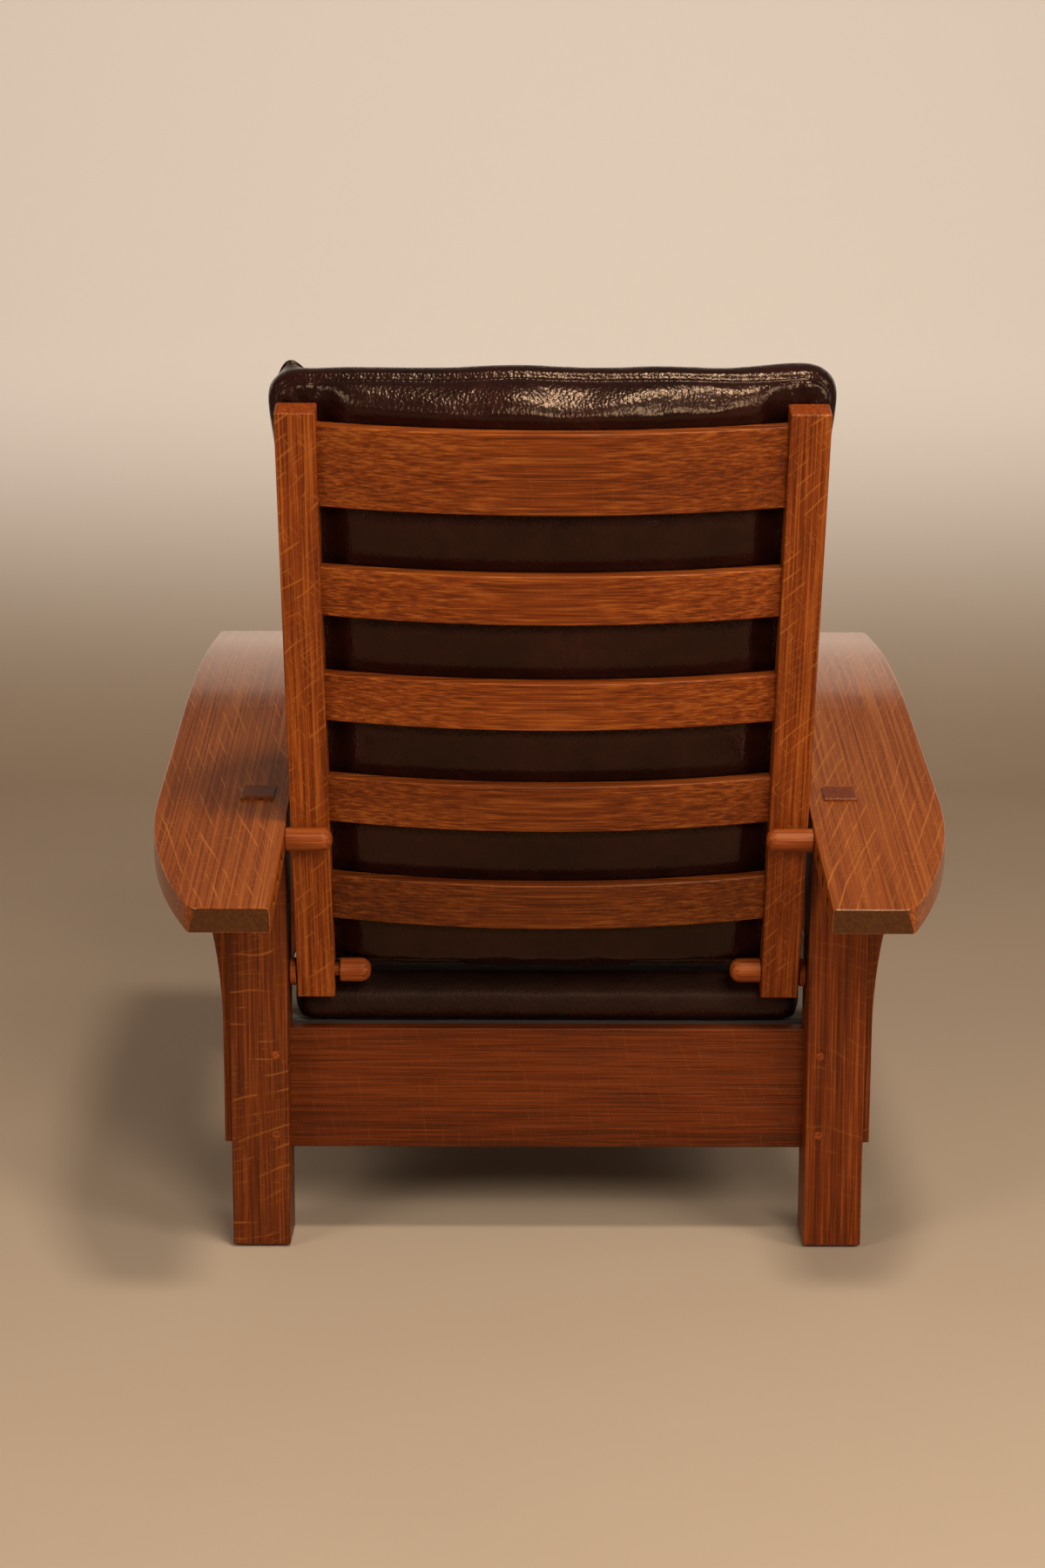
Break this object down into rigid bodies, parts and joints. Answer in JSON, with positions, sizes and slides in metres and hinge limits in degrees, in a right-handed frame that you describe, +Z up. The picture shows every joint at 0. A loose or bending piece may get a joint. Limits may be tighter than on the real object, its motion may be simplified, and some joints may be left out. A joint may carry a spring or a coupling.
{
  "type": "mission reclining armchair",
  "caption": "Oak reclining armchair with bowed arms, a slatted pegged back that tilts, drop-in seat deck and loose dark leather cushions",
  "frame": {"origin": "middle of the chair's outline on the floor", "axes": "+Z up, the chair faces -Y, +X is the sitter's left"},
  "size_m": [0.882, 0.9656, 1.005],
  "materials": {
    "leg_wood": "satin",
    "rail_wood": "satin",
    "arm_wood": "satin",
    "stile_wood": "satin",
    "pin_wood": "satin",
    "peg_wood": "satin",
    "deck_wood": "matte",
    "screw_steel": "satin",
    "webbing": "matte",
    "deck_cloth": "matte",
    "glide_plastic": "matte",
    "cushion_leather": "satin"
  },
  "bodies": {
    "base": {"front_leg_left": "leg_wood", "front_leg_right": "leg_wood", "rear_leg_left": "leg_wood", "rear_leg_right": "leg_wood", "front_rail": "rail_wood", "rear_rail": "rail_wood", "side_rail_left": "rail_wood", "side_rail_right": "rail_wood", "front_rail_pins": "pin_wood", "rear_rail_pins": "pin_wood", "side_rail_pins_left": "pin_wood", "side_rail_pins_right": "pin_wood", "front_corbel_left": "leg_wood", "front_corbel_right": "leg_wood", "rear_corbel_left": "leg_wood", "rear_corbel_right": "leg_wood", "arm_left": "arm_wood", "arm_right": "arm_wood", "leg_glides": "glide_plastic", "front_cleat": "deck_wood", "rear_cleat": "deck_wood", "side_cleat_left": "deck_wood", "side_cleat_right": "deck_wood", "cleat_screws": "screw_steel", "seat_frame_left": "deck_wood", "seat_frame_right": "deck_wood", "seat_frame_front": "deck_wood", "seat_frame_rear": "deck_wood", "seat_frame_dowels": "deck_wood", "seat_webbing": "webbing", "deck_pad": "deck_cloth", "deck_cover": "deck_cloth", "pivot_washer_left": "peg_wood", "pivot_washer_right": "peg_wood"},
    "back_frame": {"stile_left": "stile_wood", "stile_right": "stile_wood", "back_slat_1": "rail_wood", "back_slat_2": "rail_wood", "back_slat_3": "rail_wood", "back_slat_4": "rail_wood", "back_slat_5": "rail_wood"},
    "back_cushion": {"back_cushion": "cushion_leather"},
    "seat_cushion": {"seat_cushion": "cushion_leather"},
    "rest_peg_left": {"rest_peg_left": "peg_wood"},
    "rest_peg_right": {"rest_peg_right": "peg_wood"},
    "pivot_peg_left": {"pivot_peg_left": "peg_wood"},
    "pivot_peg_right": {"pivot_peg_right": "peg_wood"}
  },
  "joints": [
    {"name": "back_tilt", "type": "hinge", "parent": "base", "child": "back_frame", "pos_m": [0, 0.2, 0.323], "axis": [1, 0, 0], "range_deg": [0, 10]},
    {"name": "back_cushion_lift", "type": "slide", "parent": "back_frame", "child": "back_cushion", "axis": [0, 0.3007, 0.9537], "range_m": [0, 0.75]},
    {"name": "seat_cushion_pull", "type": "slide", "parent": "base", "child": "seat_cushion", "axis": [0, -1, 0], "range_m": [0, 0.67]},
    {"name": "rest_peg_left_pull", "type": "slide", "parent": "base", "child": "rest_peg_left", "axis": [-1, 0, 0], "range_m": [0, 0.04]},
    {"name": "rest_peg_right_pull", "type": "slide", "parent": "base", "child": "rest_peg_right", "axis": [1, 0, 0], "range_m": [0, 0.04]},
    {"name": "pivot_peg_left_pull", "type": "slide", "parent": "base", "child": "pivot_peg_left", "axis": [-1, 0, 0], "range_m": [-0.006, 0.084]},
    {"name": "pivot_peg_right_pull", "type": "slide", "parent": "base", "child": "pivot_peg_right", "axis": [1, 0, 0], "range_m": [0, 0.09]}
  ]
}
